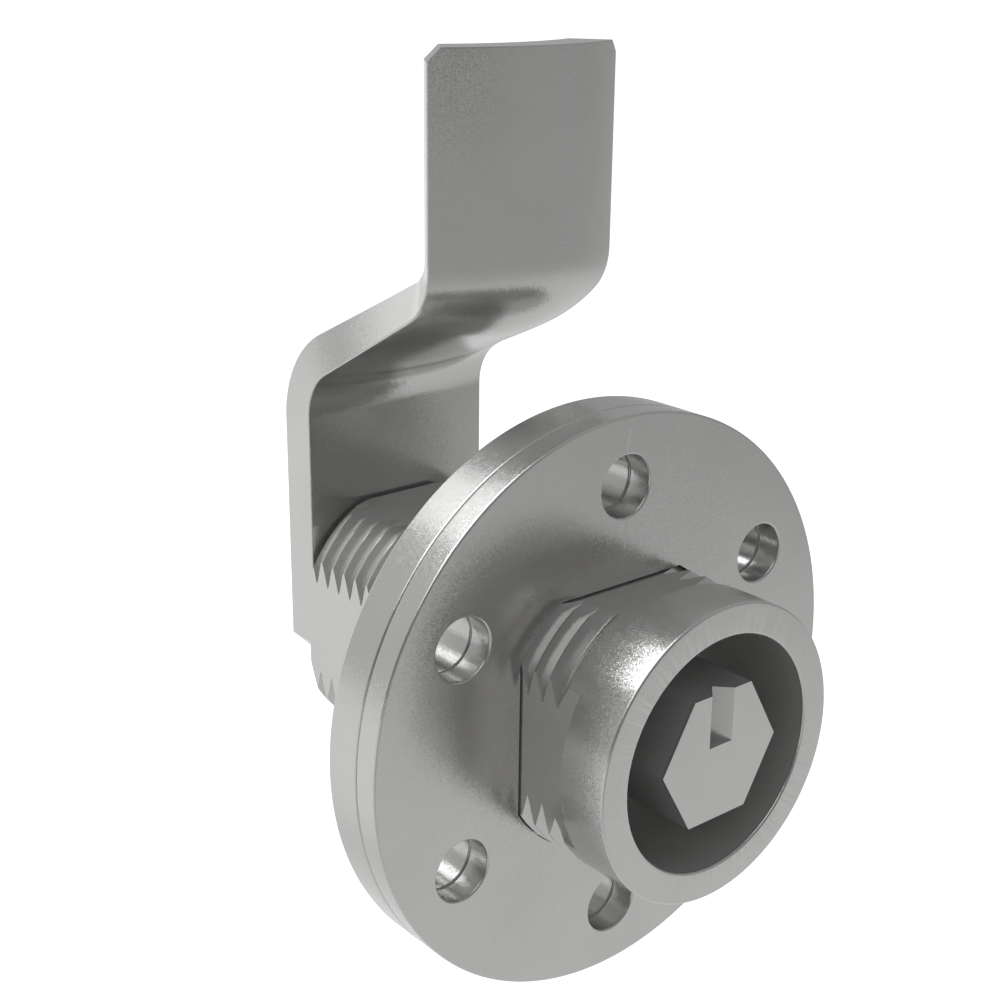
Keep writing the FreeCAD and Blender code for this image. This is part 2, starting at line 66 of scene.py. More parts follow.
# Housing: places along the axis from the solids, radii as they are there
head_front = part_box("housing")[0].y
housing_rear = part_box("housing")[1].y
bush_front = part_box("end_bush")[0].y
bush_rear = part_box("end_bush")[1].y
ring_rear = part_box("end_retaining_ring")[1].y
thread_radius = 15.0 * MM
recess_radius = 11.85 * MM
recess_depth = 14.0 * MM
web_thickness = 4.0 * MM
web_bore = 8.0555 * MM
chamber_radius = 10.0 * MM
bush_radius = 11.0 * MM
ring_groove_radius = 11.55 * MM
flat_distance = 12.75 * MM
plain_head_length = 5.6 * MM
flat_run_out = 1.1 * MM
rear_end_chamfer = 1.5 * MM

# Flange discs: the places of their faces come from the solids
plate_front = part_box("keyed_plate")[0].y
plate_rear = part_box("keyed_plate")[1].y
flange_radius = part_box("keyed_plate")[1].x
keyed_hole_radius = 15.1 * MM
keyed_flat_distance = 12.93 * MM
threaded_bore_radius = 15.05 * MM
flange_lead_in = 0.8 * MM
hole_circle_radius = 22.75 * MM
hole_radius = 3.1 * MM
hole_count = 6
first_hole_angle = math.radians(30.0)

# Cam: a plate bent twice, and arched along its path from the lower bend to the tongue
cam_thickness = 4.5 * MM
cam_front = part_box("cam_washer")[0].y - cam_thickness
cam_half_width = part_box("cam")[1].x
cam_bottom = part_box("cam")[0].z
cam_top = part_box("cam")[1].z
cam_bottom_chamfer = 6.5 * MM
lower_bend_height = 23.2 * MM
lower_bend_radius = 6.0 * MM
upper_bend_radius = 1.8 * MM + cam_thickness
bend_angle = math.radians(60.5)
tongue_offset = 20.8 * MM
tongue_arch_radius = 23.4 * MM
arch_growth_angle = math.radians(82.0)
arch_side_lean = 1.14
tongue_corner_cut = 1.35 * MM
square_hole_half = 4.05 * MM

# Broken edges: the turned edges in sight and the edges of the cam are rounded a little
edge_round = 0.25 * MM
edge_steps = 4
cam_side_round = 0.16 * MM
cam_end_round = 0.14 * MM

# Outside thread, with the pitch and the phase that the photograph shows
thread_pitch = 2.06 * MM
thread_depth = 1.2 * MM
crest_width = 0.25 * MM
root_width = 0.2 * MM
thread_root_place = -10.08 * MM
thread_root_angle = math.radians(-67.7)
thread_start = -12.15 * MM
run_out_start = -13.6 * MM

# Meshes: fineness, how far a cutting body stands past what it cuts, and shading
turns_around = 192
axis_samples = 240
hole_samples = 64
arch_samples = 48
bend_samples = 24
bend_margin = 0.3 * MM
margin = 1.0 * MM
weld_distance = 1e-8
sharp_angle = 30.0
housing_sharp_angle = 25.0
square_face = 0.999999


def link(mesh, name):
    piece = bpy.data.objects.new(name, mesh)
    bpy.context.scene.collection.objects.link(piece)
    return piece


def finished(piece, angle=sharp_angle):
    """Smooth shading apart from sharp edges and from faces that are square to the latch axis."""
    mesh = piece.data
    for polygon in mesh.polygons:
        polygon.use_smooth = abs(polygon.normal.y) < square_face
    mesh.set_sharp_from_angle(angle=math.radians(angle))
    normals = piece.modifiers.new("normals", "WEIGHTED_NORMAL")
    normals.keep_sharp = True
    return applied(piece)


def applied(piece):
    """Makes the piece's modifiers part of its mesh."""
    graph = bpy.context.evaluated_depsgraph_get()
    mesh = bpy.data.meshes.new_from_object(piece.evaluated_get(graph))
    piece.modifiers.clear()
    old = piece.data
    piece.data = mesh
    bpy.data.meshes.remove(old)
    return piece


def rounded_edge(radius, place, inward, side=1.0):
    """Quarter round from a flat face at a place to a wall at a radius.

    The solid is inside the wall for side 1, and outside it for side -1.
    """
    points = []
    for step in range(edge_steps + 1):
        angle = math.pi / 2.0 * step / edge_steps
        across = radius - side * edge_round * (1.0 - math.sin(angle))
        points.append((across, place + inward * edge_round * (1.0 - math.cos(angle))))
    return points


def lathe(name, outline, steps=axis_samples):
    """Closed ring turned about the Y axis from a loop of (radius, place) corners."""
    mesh = bpy.data.meshes.new(name)
    builder = bmesh.new()
    columns = []
    for index in range(steps):
        angle = 2.0 * math.pi * index / steps
        columns.append([
            builder.verts.new((radius * math.sin(angle), place, radius * math.cos(angle)))
            for radius, place in outline
        ])
    count = len(outline)
    for index in range(steps):
        here = columns[index]
        there = columns[(index + 1) % steps]
        for corner in range(count):
            after = (corner + 1) % count
            builder.faces.new((here[corner], here[after], there[after], there[corner]))
    bmesh.ops.remove_doubles(builder, verts=builder.verts, dist=weld_distance)
    bmesh.ops.recalc_face_normals(builder, faces=builder.faces)
    builder.to_mesh(mesh)
    builder.free()
    return link(mesh, name)


def prism(name, half_width, start, end):
    """Square bar on the axis, with its flats towards +-X and +-Z."""
    signs = ((-1, -1), (1, -1), (1, 1), (-1, 1))
    corners = [Vector((x * half_width, start, z * half_width)) for x, z in signs]
    return wedge(name, corners, Vector((0.0, end - start, 0.0)))


def wedge(name, corners, sweep):
    """Solid that a flat outline sweeps along a vector."""
    builder = bmesh.new()
    near = [builder.verts.new(corner) for corner in corners]
    far = [builder.verts.new(corner + sweep) for corner in corners]
    builder.faces.new(near)
    builder.faces.new(far)
    for index in range(len(corners)):
        after = (index + 1) % len(corners)
        builder.faces.new((near[index], near[after], far[after], far[index]))
    bmesh.ops.recalc_face_normals(builder, faces=builder.faces)
    mesh = bpy.data.meshes.new(name)
    builder.to_mesh(mesh)
    builder.free()
    return link(mesh, name)


def combine(piece, other, operation):
    """Boolean of two closed meshes. The second one is used up."""
    modifier = piece.modifiers.new(operation, "BOOLEAN")
    modifier.operation = operation
    modifier.solver = "EXACT"
    modifier.object = other
    applied(piece)
    used = other.data
    bpy.data.objects.remove(other)
    bpy.data.meshes.remove(used)
    return piece


def thread_rows():
    """(offset along one pitch, radius) of the thread form's corners, from a root's middle."""
    flank = (thread_pitch - crest_width - root_width) / 2.0
    root = thread_radius - thread_depth
    return [
        (-root_width / 2.0, root),
        (root_width / 2.0, root),
        (root_width / 2.0 + flank, thread_radius),
        (root_width / 2.0 + flank + crest_width, thread_radius),
    ]


def thread_solid(name, start, end):
    """Solid with a helical outside, cut square at both ends."""
    rows = thread_rows()
    period = len(rows)
    turns = int((end - start) / thread_pitch) + 4
    first_turn = math.floor((start - thread_root_place) / thread_pitch) - 2
    steps = turns_around

    def corner(row, angle):
        offset, radius = rows[row % period]
        lead = thread_pitch * (angle - thread_root_angle) / (2.0 * math.pi)
        return thread_root_place + thread_pitch * (first_turn + row // period) + lead + offset, radius

    def clipped(row, angle):
        place, radius = corner(row, angle)
        for limit, side in ((start, 1), (end, -1)):
            if (place - limit) * side < 0.0:
                while (place - limit) * side < 0.0:
                    row += side
                    before = (place, radius)
                    place, radius = corner(row, angle)
                share = (limit - before[0]) / (place - before[0])
                return limit, before[1] + share * (radius - before[1])
        return place, radius

    builder = bmesh.new()
    columns = []
    for index in range(steps):
        angle = 2.0 * math.pi * index / steps
        column = []
        for row in range(period * turns):
            place, radius = clipped(row, angle)
            column.append(builder.verts.new((radius * math.sin(angle), place, radius * math.cos(angle))))
        columns.append(column)
    for index in range(steps):
        here = columns[index]
        there = columns[(index + 1) % steps]
        shift = period if index == steps - 1 else 0
        for row in range(period * turns - 1 - shift):
            corners = (here[row], here[row + 1], there[row + 1 + shift], there[row + shift])
            builder.faces.new(corners)
    bmesh.ops.remove_doubles(builder, verts=builder.verts, dist=weld_distance)
    bmesh.ops.dissolve_degenerate(builder, edges=builder.edges, dist=weld_distance)
    open_edges = [edge for edge in builder.edges if edge.is_boundary]
    bmesh.ops.holes_fill(builder, edges=open_edges, sides=0)
    bmesh.ops.recalc_face_normals(builder, faces=builder.faces)
    mesh = bpy.data.meshes.new(name)
    builder.to_mesh(mesh)
    builder.free()
    return link(mesh, name)


def make_housing():
    """Head, threaded length with four flats, key recess and stepped bore, as one closed mesh."""
    flat_start = head_front + plain_head_length
    root_radius = thread_radius - thread_depth
    core = 2.0 * MM
    body = thread_solid("housing_thread", thread_start, housing_rear + margin)
    end_form = lathe("end_form", [
        (0.0, thread_start - margin),
        (thread_radius + margin, thread_start - margin),
        (thread_radius + margin, housing_rear - rear_end_chamfer - margin),
        (thread_radius - rear_end_chamfer, housing_rear),
        (0.0, housing_rear),
    ])
    combine(body, end_form, "INTERSECT")
    neck = lathe("neck", [
        (0.0, flat_start - margin),
        (thread_radius, flat_start - margin),
        (thread_radius, run_out_start),
        (root_radius, thread_start),
        (core, thread_start + margin),
        (0.0, thread_start + margin),
    ])
    combine(body, neck, "UNION")
    flats = prism("flats", flat_distance, flat_start - 2.0 * margin, housing_rear + margin)
    combine(body, flats, "INTERSECT")
    head = lathe("head", [
        (0.0, head_front),
        *rounded_edge(thread_radius, head_front, 1.0),
        (thread_radius, flat_start),
        (flat_distance, flat_start + flat_run_out),
        (0.0, flat_start + flat_run_out),
    ])
    combine(body, head, "UNION")
    recess_floor = head_front + recess_depth
    web_rear = recess_floor + web_thickness
    bore = lathe("bore", [
        (0.0, head_front - margin),
        (recess_radius + edge_round, head_front - margin),
        *rounded_edge(recess_radius, head_front, 1.0, -1.0),
        (recess_radius, recess_floor),
        (web_bore, recess_floor),
        (web_bore, web_rear),
        (chamber_radius, web_rear),
        (chamber_radius, bush_front),
        (bush_radius, bush_front),
        (bush_radius, bush_rear),
        (ring_groove_radius, bush_rear),
        (ring_groove_radius, ring_rear),
        (bush_radius, ring_rear),
        (bush_radius, housing_rear + margin),
        (0.0, housing_rear + margin),
    ])
    combine(body, bore, "DIFFERENCE")
    body.name = "housing_with_thread"
    return finished(body, housing_sharp_angle)


def drill(piece, start, end):
    """Cuts the six mounting holes, with their edges broken."""
    wide = hole_radius + edge_round
    for index in range(hole_count):
        angle = first_hole_angle + 2.0 * math.pi * index / hole_count
        cutter = lathe("hole", [
            (0.0, start - margin),
            (wide, start - margin),
            *rounded_edge(hole_radius, start, 1.0, -1.0),
            *reversed(rounded_edge(hole_radius, end, -1.0, -1.0)),
            (wide, end + margin),
            (0.0, end + margin),
        ], steps=hole_samples)
        middle = Vector((math.cos(angle), 0.0, math.sin(angle))) * hole_circle_radius
        cutter.data.transform(Matrix.Translation(middle))
        combine(piece, cutter, "DIFFERENCE")


def make_keyed_plate():
    """Front disc, with a hole that has the four flats of the housing."""
    plate = lathe("plate_disc", [
        (0.0, plate_front),
        *rounded_edge(flange_radius, plate_front, 1.0),
        *reversed(rounded_edge(flange_radius, plate_rear, -1.0)),
        (0.0, plate_rear),
    ])
    hole = lathe("keyed_hole", [
        (0.0, plate_front - margin),
        (keyed_hole_radius, plate_front - margin),
        (keyed_hole_radius, plate_rear + margin),
        (0.0, plate_rear + margin),
    ])
    bar_start = plate_front - 2.0 * margin
    bar_end = plate_rear + 2.0 * margin
    bar = prism("keyed_flats", keyed_flat_distance, bar_start, bar_end)
    combine(hole, bar, "INTERSECT")
    combine(plate, hole, "DIFFERENCE")
    drill(plate, plate_front, plate_rear)
    plate.name = "keyed_plate_disc"
    return finished(plate)


def make_threaded_flange():
    """Rear disc, with a lead-in at the back of its bore."""
    flange = lathe("flange_disc", [
        (threaded_bore_radius, plate_rear),
        *rounded_edge(flange_radius, plate_rear, 1.0),
        *reversed(rounded_edge(flange_radius, 0.0, -1.0)),
        (threaded_bore_radius + flange_lead_in, 0.0),
        (threaded_bore_radius, -flange_lead_in),
    ])
    drill(flange, plate_rear, 0.0)
    flange.name = "threaded_flange_disc"
    return finished(flange)


# Cam


def cam_lengths():
    """Distances along the path where the slant starts and ends and the tongue starts."""
    sine = math.sin(bend_angle)
    bend_offset = (lower_bend_radius + upper_bend_radius) * (1.0 - math.cos(bend_angle))
    slant_start = lower_bend_radius * bend_angle
    slant_end = slant_start + (tongue_offset - bend_offset) / sine
    return slant_start, slant_end, slant_end + upper_bend_radius * bend_angle


def cam_path(distance):
    """Place and lean of the front face's side edges at a distance from the lower bend's start."""
    slant_start, slant_end, tongue_start = cam_lengths()
    low = min(max(distance, 0.0), slant_start) / lower_bend_radius
    slant = min(max(distance - slant_start, 0.0), slant_end - slant_start)
    high = min(max(distance - slant_end, 0.0), tongue_start - slant_end) / upper_bend_radius
    straight = min(distance, 0.0) + max(distance - tongue_start, 0.0)
    top_lean = bend_angle - high
    y = cam_front - lower_bend_radius * (1.0 - math.cos(low)) - slant * math.sin(bend_angle)
    z = lower_bend_height + lower_bend_radius * math.sin(low) + slant * math.cos(bend_angle)
    y -= upper_bend_radius * (math.cos(top_lean) - math.cos(bend_angle))
    z += upper_bend_radius * (math.sin(bend_angle) - math.sin(top_lean))
    return y, z + straight, low - high


def arch_drop(curvature, across):
    """How far an arc has fallen at a distance from its crown."""
    return curvature * across ** 2 / (1.0 + math.sqrt(1.0 - (curvature * across) ** 2))


def round_corner(before, corner, after, size):
    """Points of the arc that rounds a corner between two lines."""
    first = (before - corner).normalized()
    last = (after - corner).normalized()
    half_angle = first.angle(last) / 2.0
    middle = corner + (first + last).normalized() * (size / math.sin(half_angle))
    start = corner + first * (size / math.tan(half_angle)) - middle
    end = corner + last * (size / math.tan(half_angle)) - middle
    return [middle + start.slerp(end, step / edge_steps) * size for step in range(edge_steps + 1)]


def cam_section(distance, inset=0.0):
    """Loop of points round the plate's section, with its four edges rounded."""
    y, z, lean = cam_path(distance)
    growth = min(max(distance / cam_lengths()[2], 0.0), 1.0)
    curvature = math.sin(arch_growth_angle * growth) / math.sin(arch_growth_angle) / tongue_arch_radius
    rise = arch_drop(curvature, cam_half_width)
    side_lean = arch_side_lean * math.asin(cam_half_width * curvature)
    back_half = cam_half_width - cam_thickness * math.sin(side_lean)
    back_drop = rise - cam_thickness + cam_thickness * math.cos(side_lean)
    back_curvature = 2.0 * back_drop / (back_half ** 2 + back_drop ** 2)

    def front(across):
        return Vector((across, rise - arch_drop(curvature, across)))

    def back(across):
        return Vector((across, rise - cam_thickness - arch_drop(back_curvature, across)))

    near_edge = 1.0 - 2.0 * cam_side_round / cam_half_width
    shares = [near_edge * (2.0 * step / arch_samples - 1.0) for step in range(arch_samples + 1)]
    front_row = [front(cam_half_width * share) for share in shares]
    back_row = [back(-back_half * share) for share in shares]
    front_right = front(cam_half_width)
    back_right = back(back_half)
    front_left = front(-cam_half_width)
    back_left = back(-back_half)
    loop = front_row
    loop += round_corner(front_row[-1], front_right, back_right, cam_side_round)
    loop += round_corner(front_right, back_right, back_row[0], cam_side_round)
    loop += back_row
    loop += round_corner(back_row[-1], back_left, front_left, cam_side_round)
    loop += round_corner(back_left, front_left, front_row[0], cam_side_round)
    points = []
    for index, point in enumerate(loop):
        along = loop[(index + 1) % len(loop)] - loop[index - 1]
        inward = Vector((along.y, -along.x)).normalized()
        across, forward = point + inward * inset
        points.append(Vector((across, y - forward * math.cos(lean), z - forward * math.sin(lean))))
    return points


def cam_distances():
    slant_start, slant_end, tongue_start = cam_lengths()
    spans = ((0.0, slant_start), (slant_start, slant_end), (slant_end, tongue_start))
    distances = [-bend_margin]
    for start, end in spans:
        distances += [start + (end - start) * step / bend_samples for step in range(bend_samples)]
    return distances + [tongue_start, tongue_start + bend_margin]


def cam_cutters():
    """Wedges for the four cut corners, and the square hole."""
    tongue_start = cam_lengths()[2]
    side_angle = math.asin(cam_half_width / tongue_arch_radius)
    side_lean = arch_side_lean * side_angle
    up = Vector((0.0, 0.0, 1.0))
    along = Vector((0.0, 1.0, 0.0))
    cam_rear = cam_front + cam_thickness
    cutters = [prism("square_hole", square_hole_half, cam_front - margin, cam_rear + margin)]
    for side in (-1.0, 1.0):
        inward = Vector((-side * math.cos(side_angle), -math.sin(side_angle), 0.0))
        through = Vector((-side * math.sin(side_lean), math.cos(side_lean), 0.0))
        corner = Vector((side * cam_half_width, cam_path(tongue_start)[0], cam_top))
        corner -= through * cam_thickness
        long_side = tongue_corner_cut + margin
        cutters.append(wedge("top_corner", [
            corner + inward * long_side + up * margin,
            corner - inward * margin - up * long_side,
            corner - inward * margin + up * margin,
        ], through * (3.0 * cam_thickness)))
        corner = Vector((side * cam_half_width, cam_front - margin, cam_bottom))
        inward = Vector((-side, 0.0, 0.0))
        long_side = cam_bottom_chamfer + margin
        cutters.append(wedge("bottom_corner", [
            corner + inward * long_side - up * margin,
            corner - inward * margin + up * long_side,
            corner - inward * margin - up * margin,
        ], along * (cam_thickness + 2.0 * margin)))
    return cutters


def make_cam():
    """Plate swept along its path, with the corners cut off and a square hole."""
    tongue_start = cam_lengths()[2]
    start = cam_bottom - lower_bend_height
    end = tongue_start + cam_top - cam_path(tongue_start)[1]
    sections = [cam_section(distance) for distance in cam_distances()]
    for step in range(edge_steps + 1):
        angle = math.pi / 2.0 * step / edge_steps
        from_end = cam_end_round * (1.0 - math.sin(angle))
        inset = cam_end_round * (1.0 - math.cos(angle))
        sections.insert(0, cam_section(start + from_end, inset))
        sections.append(cam_section(end - from_end, inset))
    builder = bmesh.new()
    rings = [[builder.verts.new(point) for point in section] for section in sections]
    count = len(rings[0])
    for here, there in zip(rings, rings[1:]):
        for index in range(count):
            after = (index + 1) % count
            builder.faces.new((here[index], here[after], there[after], there[index]))
    builder.faces.new(rings[0])
    builder.faces.new(rings[-1])
    bmesh.ops.recalc_face_normals(builder, faces=builder.faces)
    mesh = bpy.data.meshes.new("cam_plate")
    builder.to_mesh(mesh)
    builder.free()
    cam = link(mesh, "cam_plate")
    for cutter in cam_cutters():
        combine(cam, cutter, "DIFFERENCE")
    return finished(cam)


# Materials


def new_material(name):
    material = bpy.data.materials.new(name)
    material.use_nodes = True
    tree = material.node_tree
    tree.nodes.clear()
    output = tree.nodes.new("ShaderNodeOutputMaterial")
    shader = tree.nodes.new("ShaderNodeBsdfPrincipled")
    tree.links.new(shader.outputs["BSDF"], output.inputs["Surface"])
    return material, tree, shader


def noise(tree, place, size, detail):
    texture = tree.nodes.new("ShaderNodeTexNoise")
    texture.inputs["Scale"].default_value = 1.0 / size
    texture.inputs["Detail"].default_value = detail
    tree.links.new(place, texture.inputs["Vector"])
    return texture.outputs["Fac"]


def ramp(tree, value, low, high):
    """Maps the middle half of a noise to a range of values."""
    node = tree.nodes.new("ShaderNodeMapRange")
    node.inputs["From Min"].default_value = 0.25
    node.inputs["From Max"].default_value = 0.75
    node.inputs["To Min"].default_value = low
    node.inputs["To Max"].default_value = high
    tree.links.new(value, node.inputs["Value"])
    return node.outputs["Result"]


def vector_node(tree, operation, first, second=None, scale=None):
    node = tree.nodes.new("ShaderNodeVectorMath")
    node.operation = operation
    tree.links.new(first, node.inputs[0])
    if second is not None:
        if isinstance(second, tuple):
            node.inputs[1].default_value = second
        else:
            tree.links.new(second, node.inputs[1])
    if scale is not None:
        node.inputs["Scale"].default_value = scale
    return node.outputs["Vector"]


def math_node(tree, operation, first, second):
    node = tree.nodes.new("ShaderNodeMath")
    node.operation = operation
    for socket, value in zip(node.inputs, (first, second)):
        if isinstance(value, (int, float)):
            socket.default_value = value
        else:
            tree.links.new(value, socket)
    return node.outputs[0]


def smooth_step(tree, value, start, end, low, high):
    step = tree.nodes.new("ShaderNodeMapRange")
    step.interpolation_type = "SMOOTHSTEP"
    step.inputs["From Min"].default_value = start
    step.inputs["From Max"].default_value = end
    step.inputs["To Min"].default_value = low
    step.inputs["To Max"].default_value = high
    tree.links.new(value, step.inputs["Value"])
    return step.outputs["Result"]


def length_of(tree, vector):
    node = tree.nodes.new("ShaderNodeVectorMath")
    node.operation = "LENGTH"
    tree.links.new(vector, node.inputs[0])
    return node.outputs["Value"]


def painted_fill_mask(tree, place):
    """1 on the walls and the post of the key recess, 0 on the outside. It marks where the metal is made
    less metallic, as painted fill light in the recess.
    """
    parts = tree.nodes.new("ShaderNodeSeparateXYZ")
    tree.links.new(place, parts.inputs["Vector"])
    across = length_of(tree, vector_node(tree, "MULTIPLY", place, (1.0, 0.0, 1.0)))
    inside = smooth_step(tree, across, recess_radius, recess_radius + edge_round, 1.0, 0.0)
    deep = smooth_step(tree, parts.outputs["Y"], head_front, head_front + painted_fill_depth, 0.0, 1.0)
    return math_node(tree, "MULTIPLY", inside, deep)


def mixed_color(tree, share, first, second):
    mix = tree.nodes.new("ShaderNodeMix")
    mix.data_type = "RGBA"
    mix.inputs["A"].default_value = (*first, 1.0)
    mix.inputs["B"].default_value = (*second, 1.0)
    tree.links.new(share, mix.inputs["Factor"])
    return mix.outputs["Result"]


def grain_normal(tree, place):
    """Surface direction that leans a little another way in each grain."""
    cells = tree.nodes.new("ShaderNodeTexVoronoi")
    cells.inputs["Scale"].default_value = 1.0 / grain_size
    tree.links.new(place, cells.inputs["Vector"])
    lean = vector_node(tree, "SUBTRACT", cells.outputs["Color"], (0.5, 0.5, 0.5))
    lean = vector_node(tree, "SCALE", lean, scale=grain_tilt)
    surface = tree.nodes.new("ShaderNodeNewGeometry").outputs["Normal"]
    return vector_node(tree, "NORMALIZE", vector_node(tree, "ADD", surface, lean))


def metal(name, color, roughness, painted_fill_metal_share=None):
    """Satin metal: a fine crystal grain, an uneven gloss, and slow clouds in its colour."""
    material, tree, shader = new_material(name)
    place = tree.nodes.new("ShaderNodeTexCoord").outputs["Object"]
    fine = noise(tree, place, gloss_size, 2.0)
    gloss = ramp(tree, fine, roughness - gloss_spread, roughness + gloss_spread)
    tree.links.new(gloss, shader.inputs["Roughness"])
    cloud = noise(tree, place, cloud_size, 3.0)
    dark = [channel * (1.0 - tone_spread) for channel in color]
    light = [channel * (1.0 + tone_spread) for channel in color]
    mixed = mixed_color(tree, ramp(tree, cloud, 0.0, 1.0), dark, light)
    tree.links.new(mixed, shader.inputs["Base Color"])
    tree.links.new(grain_normal(tree, place), shader.inputs["Normal"])
    shader.inputs["Metallic"].default_value = metal_share
    # In the key recess the metal is made less metallic, so its diffuse colour brightens it: painted fill
    # light that stands in for light bounced round the recess.
    if painted_fill_metal_share is not None:
        painted_fill = math_node(tree, "MULTIPLY", painted_fill_mask(tree, place), painted_fill_metal_share - metal_share)
        tree.links.new(math_node(tree, "ADD", painted_fill, metal_share), shader.inputs["Metallic"])
    return material


def rubber(name):
    material, tree, shader = new_material(name)
    place = tree.nodes.new("ShaderNodeTexCoord").outputs["Object"]
    fine = noise(tree, place, rubber_patch_size, 2.0)
    tree.links.new(ramp(tree, fine, *rubber_roughness), shader.inputs["Roughness"])
    mixed = mixed_color(tree, fine, rubber_dark, rubber_light)
    tree.links.new(mixed, shader.inputs["Base Color"])
    return material


# Metal: its grain, gloss and clouds, how metallic it is outside, and how much less metallic the key
# recess is made as painted fill light
grain_size = 0.085 * MM
grain_tilt = 0.08
gloss_size = 0.5 * MM
gloss_spread = 0.03
cloud_size = 9.0 * MM
tone_spread = 0.03
metal_share = 0.73
# Painted fill light: the walls and the post of the key recess are made less metallic, so they render
# lighter.
painted_fill_wall_metal_share = 0.42
painted_fill_post_metal_share = 0.58
painted_fill_depth = 0.5 * MM
steel_color = (0.52, 0.516, 0.508)

rubber_patch_size = 0.3 * MM
rubber_roughness = (0.45, 0.6)
rubber_dark = (0.018, 0.018, 0.019)
rubber_light = (0.03, 0.03, 0.031)

finishes = {
    "housing_steel": metal("housing_steel", steel_color, 0.2, painted_fill_metal_share=painted_fill_wall_metal_share),
    "flange_steel": metal("flange_steel", steel_color, 0.2),
    "cam_steel": metal("cam_steel", steel_color, 0.18),
    "spindle_steel": metal("spindle_steel", steel_color, 0.2, painted_fill_metal_share=painted_fill_post_metal_share),
    "inner_steel": metal("inner_steel", (0.45, 0.45, 0.45), 0.2),
    "pin_steel": metal("pin_steel", (0.5, 0.5, 0.51), 0.12),
    "spring_steel": metal("spring_steel", (0.3, 0.3, 0.32), 0.25),
    "screw_steel": metal("screw_steel", (0.52, 0.52, 0.52), 0.18),
    "bronze": metal("bronze", (0.62, 0.42, 0.2), 0.25),
    "seal_rubber": rubber("seal_rubber"),
}


def dress(piece, slot):
    piece.data.materials.clear()
    piece.data.materials.append(finishes[slot])


for subpart in frame["record"]["subparts"]:
    dress(nodes[subpart["node"]], subpart["material_slot"])


def stand_in(piece, body, node, slot):
    """Puts a mesh in the place of a solid."""
    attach(piece, body)
    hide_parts(node)
    dress(piece, slot)


stand_in(make_housing(), "housing", "housing", "housing_steel")
stand_in(make_keyed_plate(), "housing", "keyed_plate", "flange_steel")
stand_in(make_threaded_flange(), "housing", "threaded_flange", "flange_steel")
stand_in(make_cam(), "draw_rod", "cam", "cam_steel")


# Floor, light and camera

floor_height = -120.0 * MM
floor_size = 12.0
floor_color = 0.62
floor_roughness = 0.9
floor_glow_camera = 0.76
floor_glow_far = 0.13
floor_glow_near = 0.33
floor_glow_rear = 0.46
pool_center = (0.12, 0.0, 0.0)
near_floor = 0.1
far_floor = 0.42
rear_floor_start = 0.05
rear_floor_end = 0.2
studio_fill = 0.5
studio_tone = 0.41


def lobe(tree, place, direction, start, end, height):
    """Rises from nothing to a height with the place's reach along a direction."""
    dot = tree.nodes.new("ShaderNodeVectorMath")
    dot.operation = "DOT_PRODUCT"
    dot.inputs[1].default_value = direction
    tree.links.new(place, dot.inputs[0])
    return smooth_step(tree, dot.outputs["Value"], start, end, 0.0, height)


def shown_to(tree, camera_value, mirror_value, other_value):
    """One value for the camera, one for what metal and glass show, and one for plain light."""
    path = tree.nodes.new("ShaderNodeLightPath")
    camera = path.outputs["Is Camera Ray"]
    glossy = path.outputs["Is Glossy Ray"]
    mirror = math_node(tree, "MAXIMUM", glossy, path.outputs["Is Transmission Ray"])
    seen = math_node(tree, "MULTIPLY", camera, camera_value)
    mirrored = math_node(tree, "MULTIPLY", mirror, mirror_value)
    either = math_node(tree, "MAXIMUM", camera, mirror)
    rest = math_node(tree, "MULTIPLY", math_node(tree, "SUBTRACT", 1.0, either), other_value)
    return math_node(tree, "ADD", math_node(tree, "ADD", seen, mirrored), rest)


def direction_of(azimuth, elevation):
    """Unit vector from the object: azimuth from +Y towards +X, elevation up, in degrees."""
    turn = math.radians(azimuth)
    rise = math.radians(elevation)
    return Vector((math.sin(turn) * math.cos(rise), math.cos(turn) * math.cos(rise), math.sin(rise)))


# What metal shows of the studio: a direction, the cosines where it starts and is full, and a tone
back_panel = (direction_of(0.0, 5.0), 0.88, 0.97, 0.9)
left_wall = (direction_of(-42.0, 10.0), 0.85, 0.98, 0.28)
ceiling = (Vector((-0.483, 0.04, 0.875)), 0.8, 0.92, 1.7)
dark_side = (direction_of(225.0, 20.0), 0.2, 0.8, -0.25)
rear_floor_direction = direction_of(-50.0, 0.0)

# Lamps: direction from the object, width, height and radiance
lamp_distance = 1.2
window = (Vector((-0.306, 0.445, 0.842)), 0.78, 0.64, 3.6)
window_foot = (Vector((-0.145, 0.743, 0.653)), 0.42, 0.22, 1.3)


def make_floor():
    mesh = bpy.data.meshes.new("floor")
    builder = bmesh.new()
    bmesh.ops.create_grid(builder, x_segments=1, y_segments=1, size=floor_size / 2.0)
    builder.to_mesh(mesh)
    builder.free()
    floor = link(mesh, "floor")
    floor.location.z = floor_height
    material, tree, shader = new_material("floor")
    shader.inputs["Base Color"].default_value = (floor_color, floor_color, floor_color, 1.0)
    shader.inputs["Roughness"].default_value = floor_roughness
    place = tree.nodes.new("ShaderNodeTexCoord").outputs["Object"]
    glow = tree.nodes.new("ShaderNodeEmission")
    rear = lobe(tree, place, rear_floor_direction, rear_floor_start, rear_floor_end, floor_glow_rear)
    distance = length_of(tree, vector_node(tree, "SUBTRACT", place, pool_center))
    near = smooth_step(tree, distance, near_floor, far_floor, floor_glow_near, 0.0)
    mirrored = math_node(tree, "ADD", math_node(tree, "MAXIMUM", rear, near), floor_glow_far)
    tree.links.new(shown_to(tree, floor_glow_camera, mirrored, 0.0), glow.inputs["Strength"])
    add = tree.nodes.new("ShaderNodeAddShader")
    tree.links.new(shader.outputs["BSDF"], add.inputs[0])
    tree.links.new(glow.outputs["Emission"], add.inputs[1])
    output = next(node for node in tree.nodes if node.type == "OUTPUT_MATERIAL")
    tree.links.new(add.outputs["Shader"], output.inputs["Surface"])
    floor.data.materials.append(material)


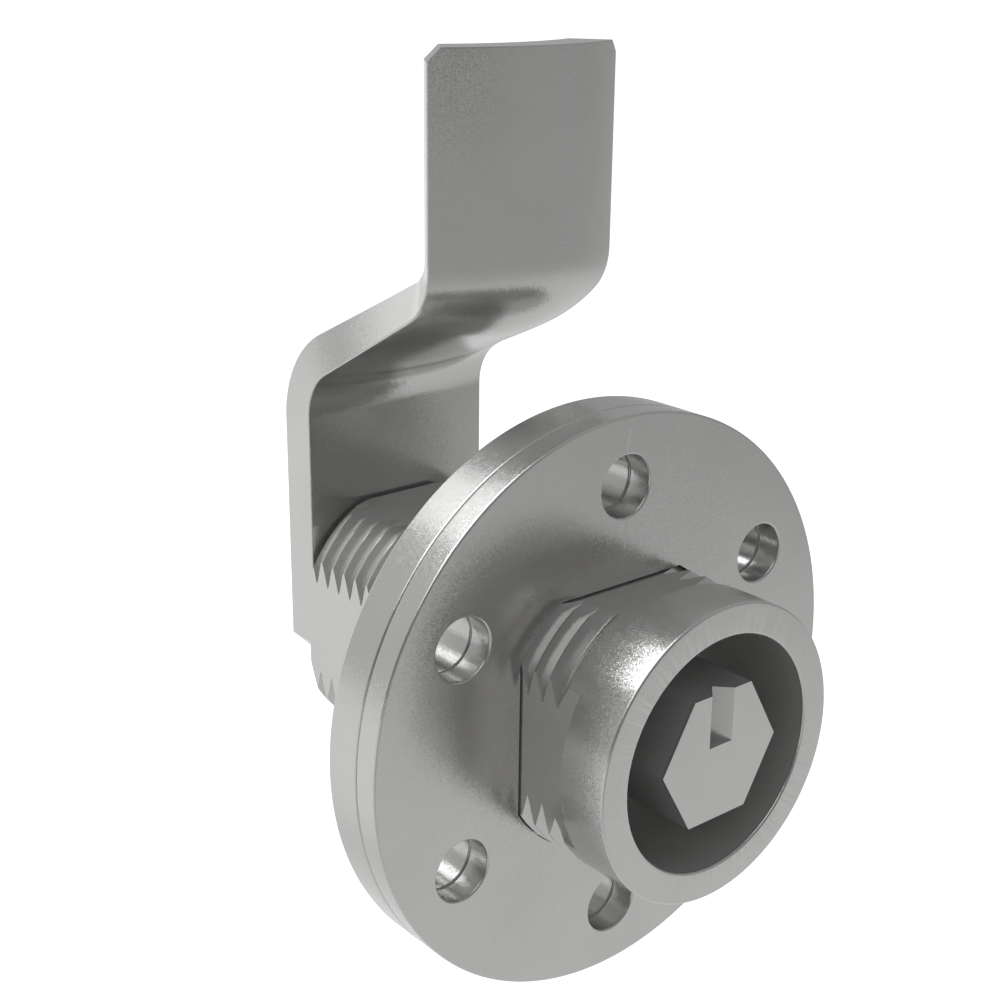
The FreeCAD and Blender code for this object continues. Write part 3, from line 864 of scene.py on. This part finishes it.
def make_world():
    """White to the camera. Metal shows a grey studio, lit behind and above and darker at one side."""
    world = bpy.data.worlds.new("studio")
    world.use_nodes = True
    tree = world.node_tree
    background = tree.nodes["Background"]
    background.inputs["Color"].default_value = (1.0, 1.0, 1.0, 1.0)
    place = tree.nodes.new("ShaderNodeTexCoord").outputs["Generated"]
    light = lobe(tree, place, *back_panel)
    for part in (left_wall, ceiling):
        light = math_node(tree, "MAXIMUM", light, lobe(tree, place, *part))
    shaded = math_node(tree, "ADD", light, lobe(tree, place, *dark_side))
    tone = math_node(tree, "ADD", shaded, studio_tone)
    tree.links.new(shown_to(tree, 1.0, tone, studio_fill), background.inputs["Strength"])
    bpy.context.scene.world = world


def softbox(name, direction, size_x, size_y, radiance):
    """Area lamp that looks at the object from a direction, with its width square to the latch axis."""
    back = direction.normalized()
    right = Vector((back.z, 0.0, -back.x)).normalized()
    rotation = Matrix((right, back.cross(right), back)).transposed()
    data = bpy.data.lights.new(name, "AREA")
    data.shape = "RECTANGLE"
    data.size = size_x
    data.size_y = size_y
    data.energy = radiance * math.pi * size_x * size_y
    lamp = bpy.data.objects.new(name, data)
    bpy.context.scene.collection.objects.link(lamp)
    lamp.matrix_world = Matrix.Translation(back * lamp_distance) @ rotation.to_4x4()


make_floor()
make_world()
softbox("window", *window)
softbox("window_foot", *window_foot)


def make_camera():
    back = Vector((
        math.sin(camera_azimuth) * math.cos(camera_elevation),
        -math.cos(camera_azimuth) * math.cos(camera_elevation),
        math.sin(camera_elevation),
    ))
    data = bpy.data.cameras.new("camera")
    data.sensor_width = sensor_width
    data.lens = camera_lens
    data.clip_start = camera_clip_start
    data.clip_end = camera_clip_end
    camera = bpy.data.objects.new("camera", data)
    bpy.context.scene.collection.objects.link(camera)
    right = Vector((math.cos(camera_azimuth), math.sin(camera_azimuth), 0.0))
    up = back.cross(right)
    turned_right = right * math.cos(camera_roll) + up * math.sin(camera_roll)
    turned_up = up * math.cos(camera_roll) - right * math.sin(camera_roll)
    rotation = Matrix((turned_right, turned_up, back)).transposed()
    camera.matrix_world = Matrix.Translation(camera_target + back * camera_distance) @ rotation.to_4x4()
    bpy.context.scene.camera = camera


make_camera()
bpy.context.scene.view_settings.view_transform = "Standard"
